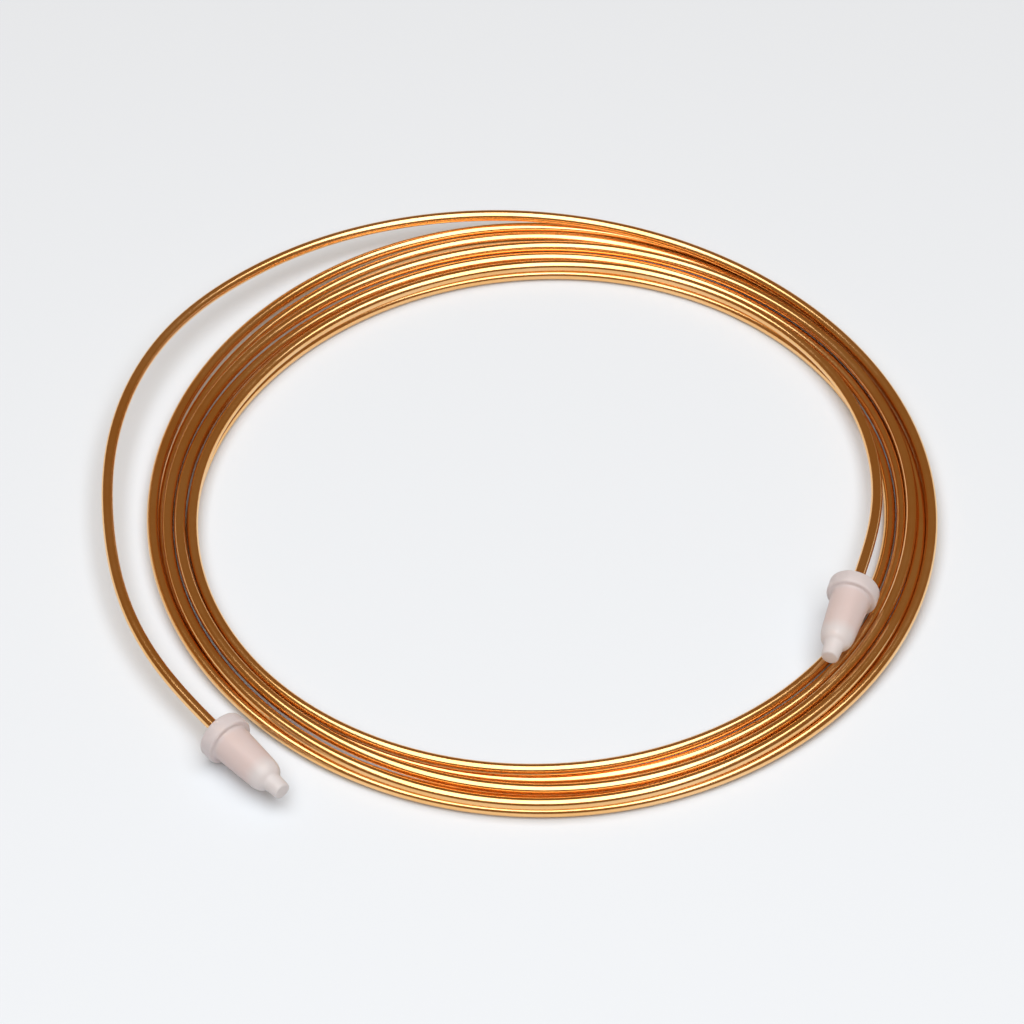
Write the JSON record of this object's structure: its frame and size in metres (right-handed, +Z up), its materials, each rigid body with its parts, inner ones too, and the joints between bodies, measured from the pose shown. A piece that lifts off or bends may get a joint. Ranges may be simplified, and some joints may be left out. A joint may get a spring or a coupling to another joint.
{
  "type": "coil of copper tube",
  "caption": "Loosely wound flat coil of small bright copper tube, its outer turn sprung open, with a soft pale cap on each end.",
  "frame": {"origin": "centre of the coil's eye, at the level of the floor it lies on", "axes": "+Z up through the eye; +Y away from the camera of the picture, +X to its right"},
  "size_m": [0.2322, 0.2229, 0.0172],
  "materials": {
    "copper": "bright drawn copper",
    "silicone": "soft, smooth and translucent"
  },
  "bodies": {
    "root": {"copper_tube": "copper", "end_cap_inner": "silicone", "end_cap_outer": "silicone"}
  },
  "joints": []
}
